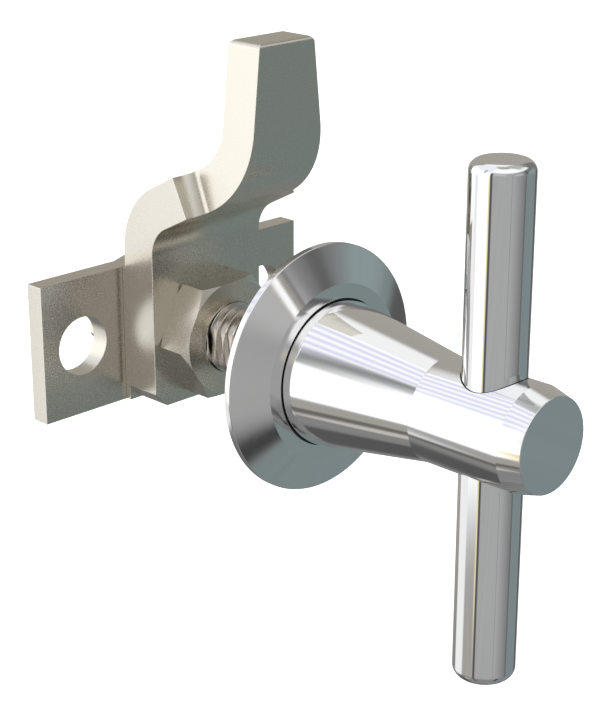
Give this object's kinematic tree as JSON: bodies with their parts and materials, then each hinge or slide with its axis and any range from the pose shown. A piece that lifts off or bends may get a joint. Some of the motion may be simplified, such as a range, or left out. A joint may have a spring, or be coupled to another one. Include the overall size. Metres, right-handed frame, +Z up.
{
  "type": "cam latch",
  "caption": "Quarter-turn cam latch: tee handle in a turned rosette, threaded spindle through the door, cranked cam and a plate for two rods.",
  "frame": {"origin": "on the spindle's axis, in the plane of the door's front face, which is the back of the rosette", "axes": "+Y along the spindle into the door, +Z up, along the cam at rest, +X to the right of someone who faces the door"},
  "size_m": [0.0568, 0.0937, 0.091],
  "materials": {
    "polished_steel": "mirror-polished stainless steel, turned",
    "satin_nickel": "satin nickel-coated steel with a fine grain",
    "nickel_thread": "satin nickel-coated steel, threaded",
    "zinc_plate": "bright zinc plate",
    "spring_steel": "dark phosphated spring steel",
    "bronze": "plain bearing bronze",
    "white_nylon": "natural nylon",
    "grey_rubber": "pale grey moulded rubber",
    "black_rubber": "black moulded rubber"
  },
  "bodies": {
    "rosette": {"escutcheon": "polished_steel", "neck_bush": "bronze", "friction_washer": "white_nylon", "hub_seal": "black_rubber", "door_gasket": "grey_rubber", "stop_pin": "spring_steel", "locating_pin": "spring_steel", "mounting_washer": "zinc_plate", "mounting_nut": "zinc_plate", "thrust_washer": "zinc_plate"},
    "handle": {"handle_hub": "polished_steel", "tee_bar": "polished_steel", "grub_screw": "spring_steel", "spindle": "nickel_thread", "retaining_ring": "spring_steel", "front_nut": "satin_nickel", "cam": "satin_nickel", "spacer_washer": "zinc_plate", "rod_plate": "satin_nickel", "lock_washer": "spring_steel", "rear_nut": "satin_nickel"}
  },
  "joints": [
    {"name": "handle_turn", "type": "hinge", "parent": "rosette", "child": "handle", "pos_m": [0, 0, 0], "axis": [0, 1, 0], "range_deg": [0, 90]}
  ]
}
